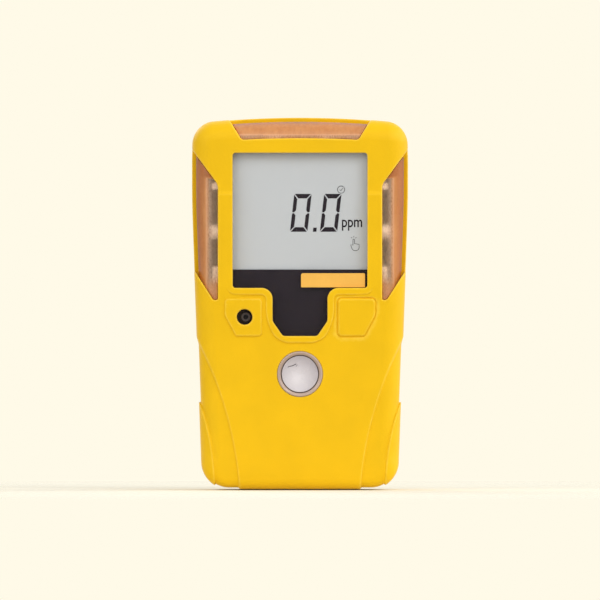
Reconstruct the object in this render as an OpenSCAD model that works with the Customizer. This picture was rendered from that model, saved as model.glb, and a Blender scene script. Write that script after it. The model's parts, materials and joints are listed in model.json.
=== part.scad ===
// Clip-on single-gas detector, in millimetres.
// +Z is up, -Y is the side with the display and +Y is the side with the belt clip.
// The origin is on the flat foot, half way between the front and the back of the housing.

/* [Housing] */
// Height of the housing at the top of its crown
body_h = 91; // [86:1:96]
// Width of the housing at its shoulders
body_w = 53; // [51:0.5:56]
// Width of the housing at its foot
foot_w = 47.9; // [47.7:0.1:48.5]
// Depth of the housing without the belt clip
body_d = 24; // [24:0.5:26]
// Rise of the crown above the shoulders
crown_h = 1; // [0.6:0.1:1.4]
// Thickness of the cover walls
wall = 2; // [1.9:0.05:2.05]
// Distance of the parting plane behind the middle of the housing
parting_y = 2; // [1.8:0.1:2.2]

/* [Edges] */
// Radius of the two shoulder corners, seen from the front
shoulder_r = 5; // [4.8:0.2:5.6]
// Radius of the two foot corners, seen from the front
foot_r = 6.6; // [5.8:0.2:7]
// Rounding of the long front edges
side_edge_r = 5; // [4.6:0.2:5.4]
// Rounding of the top front edge
top_edge_r = 4.5; // [4:0.1:4.6]
// Rounding of the bottom front edge
foot_edge_r = 2.2; // [2.1:0.1:3]
// Rounding of all back edges
back_edge_r = 3.4; // [3.2:0.1:4]

/* [Display] */
// Half of the width of the display opening
window_x = 16.45; // [16:0.05:16.6]
// Height of the lower edge of the display opening above the foot
window_z0 = 49.25; // [49:0.05:49.8]
// Height of the upper edge of the display opening above the foot
window_z1 = 82.25; // [82:0.05:82.6]
// Depth of the window glass behind the front face
window_recess = 0.8; // [0.6:0.1:0.9]
// Height of the raised rim round the display above the front face
rim_h = 0.4; // [0.2:0.1:0.5]

/* [Gas port] */
// Height of the gas port above the foot
port_z = 28.2; // [27.8:0.1:28.8]
// Radius of the gas port in the front cover
port_r = 5.55; // [5.5:0.05:6]

/* [Controls] */
// Distance of the button's centre from the middle
control_x = 13.9; // [13.8:0.05:14.1]
// Height of the button and the sounder port above the foot
control_z = 42.15; // [42:0.05:42.3]
// Distance of the sounder port from the middle
sound_port_x = 13.55; // [13.4:0.05:14]
// Radius of the sounder port
sound_hole_r = 1.9; // [1.5:0.1:2.1]
// Distance that the button travels when it is pressed
button_travel = 0.4; // [0.3:0.05:0.4]

/* [Belt clip] */
// Height of the clip's hinge pin above the foot
pin_z = 60; // [59:0.5:61]
// Distance of the hinge pin behind the back of the housing
pin_stand = 4.8; // [4.8:0.1:5.2]
// Radius of the hinge pin
pin_r = 1; // [0.9:0.05:1.1]
// Radius of the lanyard hole in the clip lever
lanyard_r = 2; // [1.5:0.1:2.2]

/* [Hidden] */
$fn = 48;

body_yellow = "#f3bf14";
front_y = -body_d / 2;
back_y = body_d / 2;
inner_y = front_y + wall;          // inside face of the front wall
back_inner_y = back_y - wall;      // inside face of the back wall
shoulder_z = body_h - crown_h;     // height of the corners where the crown starts
widest_z = 70;                     // the housing is widest from here up
far = 40;                          // reaches past the housing on every side
gap = 0.05;                        // clearance between pieces that only touch

lens_inset = 1.1;                  // how far the alarm lenses lie below the cover's surface
lens_t = 0.9;                      // thickness of the part of a lens that shows
flange_t = 0.8;                    // thickness of the hidden flange that holds a lens
channel_depth = 0.45;              // depth of the two grip channels
button_gap = 0.2;                  // width of the groove round the button
groove_depth = 0.45;               // the button's flange closes the groove at this depth

window_t = 1.1;
window_y = front_y + window_recess;
window_back_y = window_y + window_t;
mask_t = 0.15;
mask_z = 53.75;                    // the print behind the window is open above this height
lcd_y = inner_y + 0.25;
lcd_t = 1.9;
board_y = -6.6;                    // front face of the circuit board
board_t = 1;
board_back_y = board_y + board_t;
switch_y = board_y - 1.4;          // front face of the push switch
switch_floor_y = board_y - 0.4;    // floor of the bore that its plunger slides in
plunger_y = switch_y - button_travel - 0.3;

boss_r = 2.5;
cover_posts = [[-20.6, 84.2], [20.6, 84.2], [-18, 6.8], [18, 6.8]];
board_posts = [[-16.5, 15.5], [16.5, 15.5], [-16.5, 33], [16.5, 33]];
insert_r = 1.7;
insert_l = 4.4;
screw_r = 0.95;

port_floor_y = front_y + 1;
gasket_y = port_floor_y - 0.2;
sensor_r = 10;
sensor_face_y = inner_y + 1.1;
sensor_l = 12.5;
sensor_back_y = sensor_face_y + sensor_l;
sensor_board_y = 6.4;
contact_circle_r = 6.5;            // the sensor's three contacts stand on this circle

battery_x = -9.8;
battery_y = 2;
battery_z = 45.5;
battery_r = 7.25;
battery_l = 33.5;

motor_x = 12;
motor_y = -2.4;
motor_z = 50;
motor_r = 3;
motor_l = 10;

clip_t = 0.8;                      // thickness of the clip's sheet steel
pin_y = back_y + pin_stand;
lever_x = 7.4;                     // half of the width of the lever
ear_x = 7.6;                       // inside face of each ear of the bracket
web_y = pin_y + 2;                 // inside face of the lever
jaw_z = 34;
lever_top_z = 76;
clip_screw_z = [47, 66.5];

// ---- Shapes shared by several pieces ----

function unit(v) = v / norm(v);

// The arc that rounds corner b, between a and c, with radius r, in n steps.
function corner_arc(a, b, c, r, n) =
    let (
        u = unit(a - b),
        v = unit(c - b),
        half = acos(u * v) / 2,
        centre = b + unit(u + v) * r / sin(half),
        from = b + u * r / tan(half) - centre,
        to = b + v * r / tan(half) - centre,
        start = atan2(from.y, from.x),
        sweep = (atan2(to.y, to.x) - start + 540) % 360 - 180
    )
    [for (i = [0 : n]) let (q = start + sweep * i / n) centre + r * [cos(q), sin(q)]];

// A closed outline whose corner i has radius radii[i]; 0 leaves it sharp.
function rounded(points, radii, n = 6) =
    let (m = len(points))
    [for (i = [0 : m - 1])
        each radii[i] > 0
            ? corner_arc(points[(i + m - 1) % m], points[i], points[(i + 1) % m], radii[i], n)
            : [points[i]]];

// Draws a shape seen from the front, in X and Z, and gives it depth from y0 to y1.
module from_front(y0, y1) {
    translate([0, y1, 0]) rotate([90, 0, 0]) linear_extrude(y1 - y0) children();
}

// Draws a shape seen from the side, in Y and Z, and gives it width from x0 to x1.
module from_side(x0, x1) {
    translate([x0, 0, 0]) rotate([90, 0, 90]) linear_extrude(x1 - x0) children();
}

module rod_y(x, z, r, y0, y1) {
    translate([x, y1, z]) rotate([90, 0, 0]) cylinder(r = r, h = y1 - y0);
}

module rod_x(y, z, r, x0, x1) {
    translate([x0, y, z]) rotate([0, 90, 0]) cylinder(r = r, h = x1 - x0);
}

module rod_z(x, y, r, z0, z1) {
    translate([x, y, z0]) cylinder(r = r, h = z1 - z0);
}

module block(x0, x1, y0, y1, z0, z1) {
    translate([x0, y0, z0]) cube([x1 - x0, y1 - y0, z1 - z0]);
}

module both_sides() {
    children();
    mirror([1, 0, 0]) children();
}

// Front outline of the housing, moved inwards by the distance i.
function body_outline(i) =
    let (
        w = body_w / 2 - i,
        f = foot_w / 2 - i,
        sh = shoulder_z - i,
        crown = [for (x = [16 : -8 : -16]) [x, body_h - i - crown_h * pow(x / 21.5, 2)]]
    )
    rounded(
        concat([[-f, i], [f, i], [w, widest_z], [w, sh]], crown, [[-w, sh], [-w, widest_z]]),
        concat([foot_r - i, foot_r - i, 0, shoulder_r - i], [for (p = crown) 0], [shoulder_r - i, 0]));

// Side outline of the housing in Y and Z, moved inwards by the distance i.
function body_side(i) =
    rounded(
        [[front_y + i, i], [back_y - i, i], [back_y - i, body_h - i], [front_y + i, body_h - i]],
        [max(foot_edge_r - i, 0.3), back_edge_r - i, back_edge_r - i, top_edge_r - i]);

// The rounding of one long side of the housing, along a side face through X = 0.
module side_rounding(i) {
    linear_extrude(3 * far)
        polygon(rounded([[-3 * far, front_y + i], [-i, front_y + i], [-i, back_y - i],
            [-3 * far, back_y - i]], [0, side_edge_r - i, back_edge_r - i, 0]));
}

// The housing as one solid, with every face moved inwards by the distance i.
module body_form(i = 0) {
    lean = atan((body_w - foot_w) / 2 / widest_z);
    intersection() {
        from_front(front_y + i, back_y - i) polygon(body_outline(i));
        from_side(-far, far) polygon(body_side(i));
        translate([body_w / 2, 0, -1]) side_rounding(i);
        translate([foot_w / 2, 0, 0]) rotate([0, lean, 0]) translate([0, 0, -1]) side_rounding(i);
        mirror([1, 0, 0]) translate([body_w / 2, 0, -1]) side_rounding(i);
        mirror([1, 0, 0]) translate([foot_w / 2, 0, 0]) rotate([0, lean, 0])
            translate([0, 0, -1]) side_rounding(i);
    }
}

// A flat ring that follows the housing's outline, between two distances from its surface.
module body_ring(outer, inner, y0, y1) {
    difference() {
        from_front(y0, y1) polygon(body_outline(outer));
        from_front(y0 - 1, y1 + 1) polygon(body_outline(inner));
    }
}

// The display opening, with the funnel-shaped tab below it, grown by the distance m.
module display_outline(m = 0) {
    neck_x = 6.75;
    tab_x = 4.2;
    tab_z = 37.5;
    bend_z = 41.1;
    half = [[window_x + m, window_z1 + m], [window_x + m, window_z0 - m],
        [neck_x + m, window_z0 - m], [neck_x - 0.1 + m, bend_z - m / 2],
        [tab_x + m / 2, tab_z - m]];
    half_r = [0.7 + m, 0.7 + m, 2.8 - m, 0.8, 0.8];
    last = len(half) - 1;
    polygon(rounded(
        concat(half, [for (i = [last : -1 : 0]) [-half[i].x, half[i].y]]),
        concat(half_r, [for (i = [last : -1 : 0]) half_r[i]])));
}

// The raised rim: a band round the display tab, and the two columns beside the display.
module rim_outline() {
    column_x = 20.1;
    column_top_z = 72.6;
    intersection() {
        union() {
            display_outline(1.7);
            translate([-column_x, window_z0 - 2]) square([2 * column_x, column_top_z - window_z0 + 2]);
        }
        translate([-far, 0]) square([2 * far, column_top_z]);
    }
}

// One side window of the front cover: open at the edge, with two slanted ends.
module side_window_outline() {
    edge_x = 20.1;
    polygon(rounded([[28, 85.25], [edge_x, 74.5], [edge_x, 44.65], [28, 56.88]], [0, 2, 0.65, 0]));
}

// The top window of the front cover: open upwards, with an arched lower edge.
module top_window_outline() {
    low_x = 14.6;
    sill_z = 85.85;
    sill = [for (x = [low_x : -low_x / 2 : -low_x]) [x, sill_z - 0.4 * pow(x / low_x, 2)]];
    polygon(concat([[18.9, 93]], sill, [[-18.9, 93]]));
}

// The square pad with one slanted corner, shared by the button and the sounder port.
module pad_outline(m = 0) {
    x0 = control_x - 4.6 - m;
    x1 = control_x + 4.5 + m;
    z0 = control_z - 4.7 - m;
    z1 = control_z + 4.5 + m;
    slant_x = control_x + 1.75 + m / 2;
    slant_z = control_z + 0.4 - m / 2;
    polygon(rounded([[x0, z1], [x1, z1], [x1, slant_z], [slant_x, z0], [x0, z0]], [1, 1, 1, 1, 1]));
}

// The two grip channels that sweep from the sides of the housing to its foot.
module grip_channels() {
    inner_edge_r = 95.4;
    inner_edge_x = 14.6;
    inner_edge_z = -7;
    outer_edge_r = 62;
    outer_edge_x = 20.75;
    difference() {
        both_sides() difference() {
            rod_y(inner_edge_x + inner_edge_r, inner_edge_z, inner_edge_r, front_y - 2, back_y + 2);
            rod_y(outer_edge_x + outer_edge_r, 0, outer_edge_r, front_y - 3, back_y + 3);
        }
        body_form(channel_depth);
    }
}

// ---- Covers and what joins them ----

module front_cover() {
    color(body_yellow)
    difference() {
        union() {
            difference() {
                body_form();
                block(-far, far, parting_y, far, -1, body_h + 9);
                body_form(wall);
                grip_channels();
            }
            from_front(front_y - rim_h, front_y + 0.5) rim_outline();
            from_front(front_y - rim_h, front_y + 0.5) mirror([1, 0]) pad_outline();
            for (p = cover_posts) rod_y(p.x, p.y, boss_r, inner_y - 0.8, parting_y - gap);
            for (p = board_posts) rod_y(p.x, p.y, 1.8, inner_y - 0.5, board_y - gap);
        }
        from_front(front_y - 2, far) display_outline();
        from_front(window_y - gap, inner_y + 1) display_outline(0.9);
        both_sides() from_front(-far, far) side_window_outline();
        from_front(-far, far) top_window_outline();
        rod_y(0, port_z, port_r, -far, port_floor_y);
        rod_y(0, port_z, 3.8, -far, inner_y + 1);
        rod_y(-sound_port_x, control_z, sound_hole_r, -far, inner_y + 1);
        from_front(-far, inner_y + 1) pad_outline(button_gap);
        from_front(front_y + groove_depth - gap, inner_y + 1) pad_outline(1);
        for (p = cover_posts) {
            rod_y(p.x, p.y, insert_r, parting_y - insert_l - 0.2, far);
            rod_y(p.x, p.y, 1.1, parting_y - insert_l - 3, far);
        }
        for (p = board_posts) rod_y(p.x, p.y, 0.75, inner_y + 0.6, far);
    }
}

module rear_cover() {
    lip_y = parting_y - 1.2;
    color(body_yellow)
    difference() {
        union() {
            difference() {
                body_form();
                block(-far, far, -far, parting_y + gap, -1, body_h + 9);
                body_form(wall);
                grip_channels();
            }
            difference() {
                body_ring(2.85, 3.7, lip_y, back_inner_y - 0.5);
                for (p = cover_posts) rod_y(p.x, p.y, boss_r + 0.2, lip_y - 1, parting_y + gap);
            }
            intersection() {
                for (p = cover_posts) rod_y(p.x, p.y, boss_r, parting_y + gap, back_y - 1);
                body_form(1);
            }
            for (z = clip_screw_z) rod_y(0, z, 2.2, back_inner_y - 2.5, back_y - 0.5);
        }
        for (p = cover_posts) {
            rod_y(p.x, p.y, 2.1, back_y - 2.4, far);
            rod_y(p.x, p.y, 1.1, 0, far);
        }
        for (z = clip_screw_z) rod_y(0, z, 1, back_inner_y - 2.2, far);
        from_front(back_y - 0.3, far) label_outline(0.15);
    }
}

module cover_gasket() {
    color("#3a3a3c") body_ring(2.1, 2.8, parting_y - 1.1, parting_y - 0.3);
}

// A machine screw along +Y: its head ends at y1, and its recess has six sides.
module screw_y(x, z, head_r, head_h, shank_r, y0, y1) {
    difference() {
        union() {
            rod_y(x, z, head_r, y1 - head_h, y1);
            rod_y(x, z, shank_r, y0, y1 - head_h);
        }
        translate([x, y1 + 1, z]) rotate([90, 0, 0])
            cylinder(r = head_r * 0.45, h = 1 + head_h * 0.6, $fn = 6);
    }
}

module cover_screws() {
    head_y = back_y - 0.9;
    color("#6e7074") for (p = cover_posts) screw_y(p.x, p.y, 1.9, 1.4, screw_r, -1.9, head_y);
}

module threaded_inserts() {
    y1 = parting_y - gap * 2;
    color("#c9a227") for (p = cover_posts) difference() {
        rod_y(p.x, p.y, insert_r - 0.02, y1 - insert_l, y1);
        rod_y(p.x, p.y, screw_r + 0.05, y1 - insert_l - 1, y1 + 1);
    }
}

// ---- Alarm lenses ----

// A translucent lens: its skin fills the cover's window and its flange lies behind the cover.
module lens(skin_t = lens_t) {
    skin_back = parting_y - gap;
    flange_back = parting_y - 1.2;
    color("#b0764a")
    difference() {
        union() {
            intersection() {
                body_form(lens_inset);
                from_front(-far, skin_back) offset(delta = -0.06) children();
            }
            intersection() {
                body_form(wall + gap);
                from_front(-far, flange_back) offset(delta = 0.6) children();
                block(-far, far, -far, far, 0, body_h);
            }
        }
        body_form(wall + flange_t);
        difference() {
            block(-far, far, flange_back, far, 0, body_h + 5);
            body_ring(0, lens_inset + skin_t, flange_back - 1, skin_back + 1);
        }
        for (p = cover_posts) rod_y(p.x, p.y, boss_r + 0.2, -far, far);
    }
}

// Ribs behind a side lens: one spreads the light of its LED along the window, one stiffens its top.
module light_ribs() {
    rib_t = 0.4;
    rib_x = 22.5;
    rib_top_z = 76.3;
    color("#b0764a") {
        block(rib_x, rib_x + rib_t, inner_y - 0.15, board_y - 0.6, 49, rib_top_z);
        block(22, 24, inner_y + 0.2, board_y - 0.6, rib_top_z, rib_top_z + rib_t);
    }
}

module alarm_lens_right() {
    lens() side_window_outline();
    light_ribs();
}

module alarm_lens_left() {
    lens() mirror([1, 0]) side_window_outline();
    mirror([1, 0, 0]) light_ribs();
}

module alarm_lens_top() { lens() top_window_outline(); }

// ---- Display ----

module display_window() {
    color("#dfe4e6") from_front(window_y, window_back_y) display_outline(0.85);
}

module window_mask() {
    color("#2a262c")
    from_front(window_back_y, window_back_y + mask_t) difference() {
        display_outline(0.6);
        translate([-window_x - 0.1, mask_z]) square([2 * window_x + 0.2, window_z1 + 0.1 - mask_z]);
    }
}

module gas_label() {
    label_z0 = window_z0 + 0.15;
    label_z1 = mask_z - 0.9;
    color("#f2b35c")
    from_front(window_y - 0.12, window_y)
        polygon(rounded([[0.25, label_z0], [15.9, label_z0], [15.9, label_z1], [0.25, label_z1]],
            [0.15, 0.15, 0.3, 0.5]));
}

module lcd_panel() {
    color("#c3c6c3") {
        block(-17.2, 17.2, lcd_y, lcd_y + lcd_t / 2, 50.2, 83.6);
        block(-17.2, 17.2, lcd_y + lcd_t / 2, lcd_y + lcd_t, 52.4, 83.6);
    }
}

// White carrier that holds the panel against the board, with clips that show in the side windows.
module lcd_frame() {
    frame_y = lcd_y + lcd_t;
    clip_y = inner_y + flange_t + 2 * gap;
    color("#eeeae6")
    difference() {
        union() {
            block(-17.9, 17.9, lcd_y + 0.1, board_y - gap, 49.4, 84.4);
            both_sides() {
                block(17, 21.3, clip_y, board_y - gap, 50.4, 54.4);
                block(17, 21.5, clip_y, board_y - gap, 73.4, 74.9);
            }
        }
        block(-17.25, 17.25, lcd_y - 1, frame_y + gap, 50.15, 83.65);
        block(-15.5, 15.5, frame_y - 1, board_y + 1, 56, 82);
        block(-14.5, 14.5, frame_y - 1, board_y + 1, 50.15, 52.35);
    }
}

module elastomer_connector() {
    color("#c9748c") block(-14, 14, lcd_y + lcd_t / 2, board_y - gap, 50.4, 52.1);
}

// ---- Electronics ----

module circuit_board() {
    color("#1f2e26")
    difference() {
        from_front(board_y, board_back_y)
            polygon(rounded([[-19.5, 12.5], [19.5, 12.5], [22.2, 44], [22.2, 78], [17.6, 80.4],
                [17.2, 87.3], [-17.2, 87.3], [-17.6, 80.4], [-22.2, 78], [-22.2, 44]],
                [2, 2, 0, 1, 0.5, 1, 1, 0.5, 1, 0]));
        rod_y(0, port_z, sensor_r + 0.5, -far, far);
        for (p = board_posts) rod_y(p.x, p.y, 0.95, -far, far);
    }
}

module board_screws() {
    color("#8b8d90")
    for (p = board_posts) screw_y(p.x, p.y, 1.6, 1, 0.7, inner_y + 0.9, board_back_y + 1);
}

// A flat square chip with a row of leads along each of its four sides.
module processor_chip() {
    chip_x = 9.5;
    chip_z = 74.5;
    half = 4.5;
    lead_l = 0.8;
    lead_w = 0.35;
    pitch = 0.8;
    color("#232325")
        block(chip_x - half, chip_x + half, board_back_y, board_back_y + 1.2, chip_z - half, chip_z + half);
    color("#b8babc")
    translate([chip_x, 0, chip_z])
        for (side = [0 : 90 : 270], i = [-4.5 : 4.5])
            rotate([0, side, 0])
                block(half + gap, half + lead_l, board_back_y, board_back_y + 0.25,
                    i * pitch - lead_w / 2, i * pitch + lead_w / 2);
}

// LED with a square base and a dome.
module led(x, z) {
    half = 1.6;
    base_y = board_y - 1;
    block(x - half, x + half, base_y, board_y, z - half, z + half);
    intersection() {
        translate([x, base_y, z]) sphere(r = half - 0.1);
        block(x - half, x + half, base_y - 2, base_y + 0.5, z - half, z + half);
    }
}

module alarm_leds() {
    color("#f4f1ec") {
        both_sides() led(20.6, 63);
        both_sides() block(5, 8, board_y - 1.2, board_y, 85.3, 87.1);
    }
}

module infrared_diodes() {
    color("#2b2530") both_sides() {
        block(11.2, 13.8, board_y - 1.6, board_y, 85.2, 87);
        rod_y(12.5, 86.1, 0.7, board_y - 2, board_y - 1.5);
    }
}

// The sounder's outlet is a short tube that stands in the port, a little off its middle.
module sounder() {
    outlet_x = 0.3 - sound_port_x;
    color("#26262a")
    difference() {
        union() {
            rod_y(-sound_port_x, control_z, 5.4, inner_y + 0.8, board_y);
            rod_y(outlet_x, control_z, 1.1, inner_y - 1.1, inner_y + 1);
        }
        rod_y(outlet_x, control_z, 0.6, -far, inner_y + 0.2);
    }
}

module sounder_seal() {
    color("#303032")
    difference() {
        rod_y(-sound_port_x, control_z, 4.6, inner_y, inner_y + 0.8);
        rod_y(-sound_port_x, control_z, 2.6, -far, far);
    }
}

module vibration_motor() {
    color("#b9bbbd")
    difference() {
        union() {
            rod_z(motor_x, motor_y, motor_r, motor_z, motor_z + motor_l);
            rod_z(motor_x, motor_y, 1.1, motor_z + motor_l, motor_z + motor_l + 0.5);
            block(motor_x - 2.6, motor_x + 2.6, board_back_y, motor_y, motor_z + 2, motor_z + 8);
        }
        rod_z(motor_x, motor_y, 0.43, motor_z + 4, motor_z + motor_l + 1);
    }
}

// Half-round weight on the motor's shaft.
module motor_weight() {
    z0 = motor_z + motor_l + 0.7;
    color("#8d8f92")
    union() {
        rod_z(motor_x, motor_y, 0.4, motor_z + 5, z0 + 4.2);
        rod_z(motor_x, motor_y, 1.1, z0, z0 + 3.8);
        difference() {
            rod_z(motor_x, motor_y, 2.7, z0, z0 + 3.8);
            block(motor_x - 4, motor_x + 4, motor_y - 4, motor_y + 0.2, z0 - 1, z0 + 6);
        }
    }
}

module battery() {
    color("#3f6fa8")
    union() {
        rod_z(battery_x, battery_y, battery_r, battery_z, battery_z + battery_l - 0.8);
        rod_z(battery_x, battery_y, 2.6, battery_z + battery_l - 1, battery_z + battery_l);
    }
}

module battery_tabs() {
    tab_t = 0.3;
    color("#c6c7c8")
    for (z = [battery_z - tab_t, battery_z + battery_l]) {
        block(battery_x - 2.5, battery_x + 2.5, board_back_y, battery_y + 3, z, z + tab_t);
    }
}

module battery_pad() {
    color("#4a4a4c")
    block(battery_x - 4.5, battery_x + 4.5, battery_y + battery_r + gap, back_inner_y - gap,
        battery_z + 4, battery_z + 28);
}

// ---- Gas sensor ----

module gas_sensor() {
    color("#e6e6e2")
    difference() {
        union() {
            rod_y(0, port_z, sensor_r, sensor_face_y, sensor_back_y);
            rod_y(0, port_z, sensor_r - 3, sensor_face_y - 0.15, sensor_face_y + 1);
        }
        rod_y(0, port_z, 1.6, -far, sensor_face_y + 0.8);
    }
}

function contact_at(i) = [contact_circle_r * cos(90 + 120 * i), port_z + contact_circle_r * sin(90 + 120 * i)];

module sensor_pins() {
    color("#d6b14a") for (i = [0 : 2]) {
        p = contact_at(i);
        rod_y(p.x, p.y, 0.75, sensor_back_y, sensor_board_y - 0.1);
    }
}

module sensor_sockets() {
    color("#b98f2c") for (i = [0 : 2]) {
        p = contact_at(i);
        difference() {
            rod_y(p.x, p.y, 1.3, sensor_board_y - 2, sensor_board_y);
            rod_y(p.x, p.y, 0.8, sensor_board_y - 3, sensor_board_y + 1);
        }
    }
}

module sensor_board() {
    color("#1f2e26")
    from_front(sensor_board_y, sensor_board_y + 1)
        polygon(rounded([[-9.5, 18], [9.5, 18], [9.5, 42.6], [-9.5, 42.6]], [3, 3, 1, 1]));
}

// Header that joins the sensor board to the circuit board.
module board_header() {
    color("#1d1d1f") block(-4.2, 4.2, board_back_y, sensor_board_y, 39.9, 42.3);
}

module sensor_seal() {
    color("#303032")
    difference() {
        rod_y(0, port_z, 8.5, inner_y, sensor_face_y);
        rod_y(0, port_z, sensor_r - 2.9, inner_y + 0.8, far);
        rod_y(0, port_z, 4.2, -far, far);
    }
}

// Soft ring that beds the filter and its retaining ring on the floor of the port.
module filter_gasket() {
    color("#75665f")
    difference() {
        rod_y(0, port_z, port_r - 2 * gap, gasket_y + gap, port_floor_y);
        rod_y(0, port_z, 3.8, -far, far);
    }
}

// Gas-permeable disc in the port, slightly dished inside its flat edge.
module gas_filter() {
    disc_r = 4.45;
    edge_w = 0.2;
    dish = 0.35;
    dish_r = (pow(disc_r - edge_w, 2) + dish * dish) / (2 * dish);
    top_y = front_y + 0.2;
    color("#e2dcdc")
    difference() {
        rod_y(0, port_z, disc_r, top_y, gasket_y);
        translate([0, top_y + dish - dish_r, port_z]) sphere(r = dish_r, $fn = 240);
    }
}

// Metal ring that holds the filter: its face slopes down towards the filter.
module filter_ring() {
    bore_r = 4.65;
    rim_r = port_r - gap;
    flat_w = 0.35;
    ring_t = gasket_y - front_y + 0.15;
    color("#b7a8a4")
    translate([0, gasket_y, port_z]) rotate([90, 0, 0]) rotate_extrude()
        polygon([[bore_r, 0], [rim_r, 0], [rim_r, ring_t], [rim_r - flat_w, ring_t], [bore_r, ring_t - 0.35]]);
}

// ---- Button ----

// The cap's flange closes the groove round it, and keeps the cap from falling out.
module button_cap() {
    color(body_yellow)
    union() {
        from_front(front_y - 0.35, inner_y) pad_outline();
        from_front(front_y + groove_depth, inner_y) pad_outline(0.9);
        rod_y(control_x, control_z, 1.5, inner_y - 0.5, plunger_y - 0.02);
    }
}

module switch_body() {
    half = 3;
    color("#303033")
    difference() {
        block(control_x - half, control_x + half, switch_y, board_y,
            control_z - half, control_z + half);
        rod_y(control_x, control_z, 1.65, -far, switch_floor_y);
    }
}

module switch_plunger() {
    color("#d8d6d0")
        rod_y(control_x, control_z, 1.6, plunger_y, switch_floor_y - button_travel - gap);
}

// ---- Back ----

module label_outline(m = 0) {
    x = 14.5 + m;
    polygon(rounded([[-x, 6.5 - m], [x, 6.5 - m], [x, 29 + m], [-x, 29 + m]], [1.5, 1.5, 1.5, 1.5]));
}

module rating_label() {
    color("#c9cbcc") from_front(back_y - 0.3 + gap, back_y - 0.08) label_outline();
}

// ---- Belt clip ----

// Base plate with two ears for the pin and a fixed jaw at its lower end.
module clip_bracket() {
    ear_t = 1;
    ear_r = 2.3;
    plate_y1 = back_y + clip_t;
    color("#b4b7ba")
    difference() {
        union() {
            from_front(back_y, plate_y1)
                polygon(rounded([[-7, jaw_z], [7, jaw_z], [7, 53], [8.6, 54], [8.6, 66], [7, 67],
                    [7, 72], [-7, 72], [-7, 67], [-8.6, 66], [-8.6, 54], [-7, 53]],
                    [0, 0, 0, 0, 0, 0, 2, 2, 0, 0, 0, 0]));
            block(-7, 7, back_y, back_y + 2, jaw_z, jaw_z + clip_t);
            both_sides() from_side(ear_x, ear_x + ear_t)
                polygon([[back_y, 54], [back_y, 66], [pin_y, pin_z + ear_r],
                    [pin_y, pin_z - ear_r]]);
            both_sides() rod_x(pin_y, pin_z, ear_r, ear_x, ear_x + ear_t);
        }
        rod_x(pin_y, pin_z, pin_r + gap, -far, far);
        for (z = clip_screw_z) rod_y(0, z, 1.35, 0, far);
    }
}

module clip_screws() {
    color("#8b8d90")
    for (z = clip_screw_z) screw_y(0, z, 2.1, 1, 0.95, back_inner_y - 1.8, back_y + clip_t + 1);
}

module clip_pin() {
    shoulder_x = ear_x + 1 + gap;
    color("#9a9da0")
    union() {
        rod_x(pin_y, pin_z, pin_r, -shoulder_x - 0.6, shoulder_x + 0.6);
        both_sides() rod_x(pin_y, pin_z, pin_r + 0.5, shoulder_x, shoulder_x + 0.6);
    }
}

// Front outline of the lever's web, with rounded corners at the thumb end.
module lever_outline() {
    polygon(rounded([[-lever_x, jaw_z], [lever_x, jaw_z], [lever_x, lever_top_z],
        [-lever_x, lever_top_z]], [0.8, 0.8, 2.5, 2.5]));
}

// Sprung lever: a bent sheet with a lip for a jaw, two flanges round the pin and three thumb ribs.
module clip_lever() {
    flange_r = 2.2;
    lip_y = back_y + 2 + gap;
    flare = 0.8;
    bend_z = 72;
    outside_y = web_y + clip_t;
    rib_r = 0.4;
    rib_h = 0.15;
    color("#c2c5c8")
    difference() {
        union() {
            intersection() {
                from_side(-far, far)
                    polygon(rounded([[lip_y, jaw_z], [outside_y, jaw_z], [outside_y, bend_z],
                        [outside_y + flare, lever_top_z], [web_y + flare, lever_top_z],
                        [web_y, bend_z], [web_y, jaw_z + clip_t], [lip_y, jaw_z + clip_t]],
                        [0, 1.2, 4, 0.35, 0.35, 4, 0.4, 0]));
                from_front(-far, far) lever_outline();
            }
            for (z = [72.6 : 1.2 : 75])
                rod_x(outside_y + flare * (z - bend_z) / (lever_top_z - bend_z) + rib_h - rib_r, z,
                    rib_r, -4.5, 4.5);
            both_sides() from_side(lever_x - clip_t, lever_x)
                polygon([[web_y + 0.2, 53], [web_y + 0.2, 67], [pin_y, pin_z + flange_r],
                    [pin_y, pin_z - flange_r]]);
            both_sides() rod_x(pin_y, pin_z, flange_r, lever_x - clip_t, lever_x);
        }
        rod_x(pin_y, pin_z, pin_r + gap, -far, far);
        rod_y(0, 68.6, lanyard_r, 0, far);
    }
}

// The wire's centre line: a leg on the bracket, the coil round the pin, a leg on the lever.
coil_r = 1.5;
wire_r = 0.25;
turns = 4;
coil_x = 2.2;
leg_a = [back_y + clip_t + wire_r + gap, 68.5] - [pin_y, pin_z];
leg_b = [web_y - wire_r - gap, 65.6] - [pin_y, pin_z];
start_angle = atan2(leg_a.y, leg_a.x) - acos(coil_r / norm(leg_a));
end_angle = atan2(leg_b.y, leg_b.x) + acos(coil_r / norm(leg_b)) - 360 * turns;
steps = 16 * turns;
coil_path = concat(
    [[-coil_x, leg_a.x, leg_a.y]],
    [for (i = [0 : steps])
        let (q = start_angle + (end_angle - start_angle) * i / steps)
        [-coil_x + 2 * coil_x * i / steps, coil_r * cos(q), coil_r * sin(q)]],
    [[coil_x, leg_b.x, leg_b.y]]);

module clip_spring() {
    sides = 8;
    last = len(coil_path) - 1;
    points = [for (i = [0 : last])
        let (
            along = unit(coil_path[min(i + 1, last)] - coil_path[max(i - 1, 0)]),
            u = unit([1, 0, 0] - along * along.x),
            v = cross(along, u)
        )
        for (k = [0 : sides - 1])
            coil_path[i] + wire_r * (u * cos(360 * k / sides) + v * sin(360 * k / sides))];
    walls = [for (i = [0 : last - 1], k = [0 : sides - 1])
        let (a = i * sides + k, b = i * sides + (k + 1) % sides)
        [a, b, b + sides, a + sides]];
    ends = [[for (k = [sides - 1 : -1 : 0]) k], [for (k = [0 : sides - 1]) last * sides + k]];
    color("#a5a8ab") translate([0, pin_y, pin_z]) polyhedron(points, concat(walls, ends));
}

// ---- Assembly ----

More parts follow.
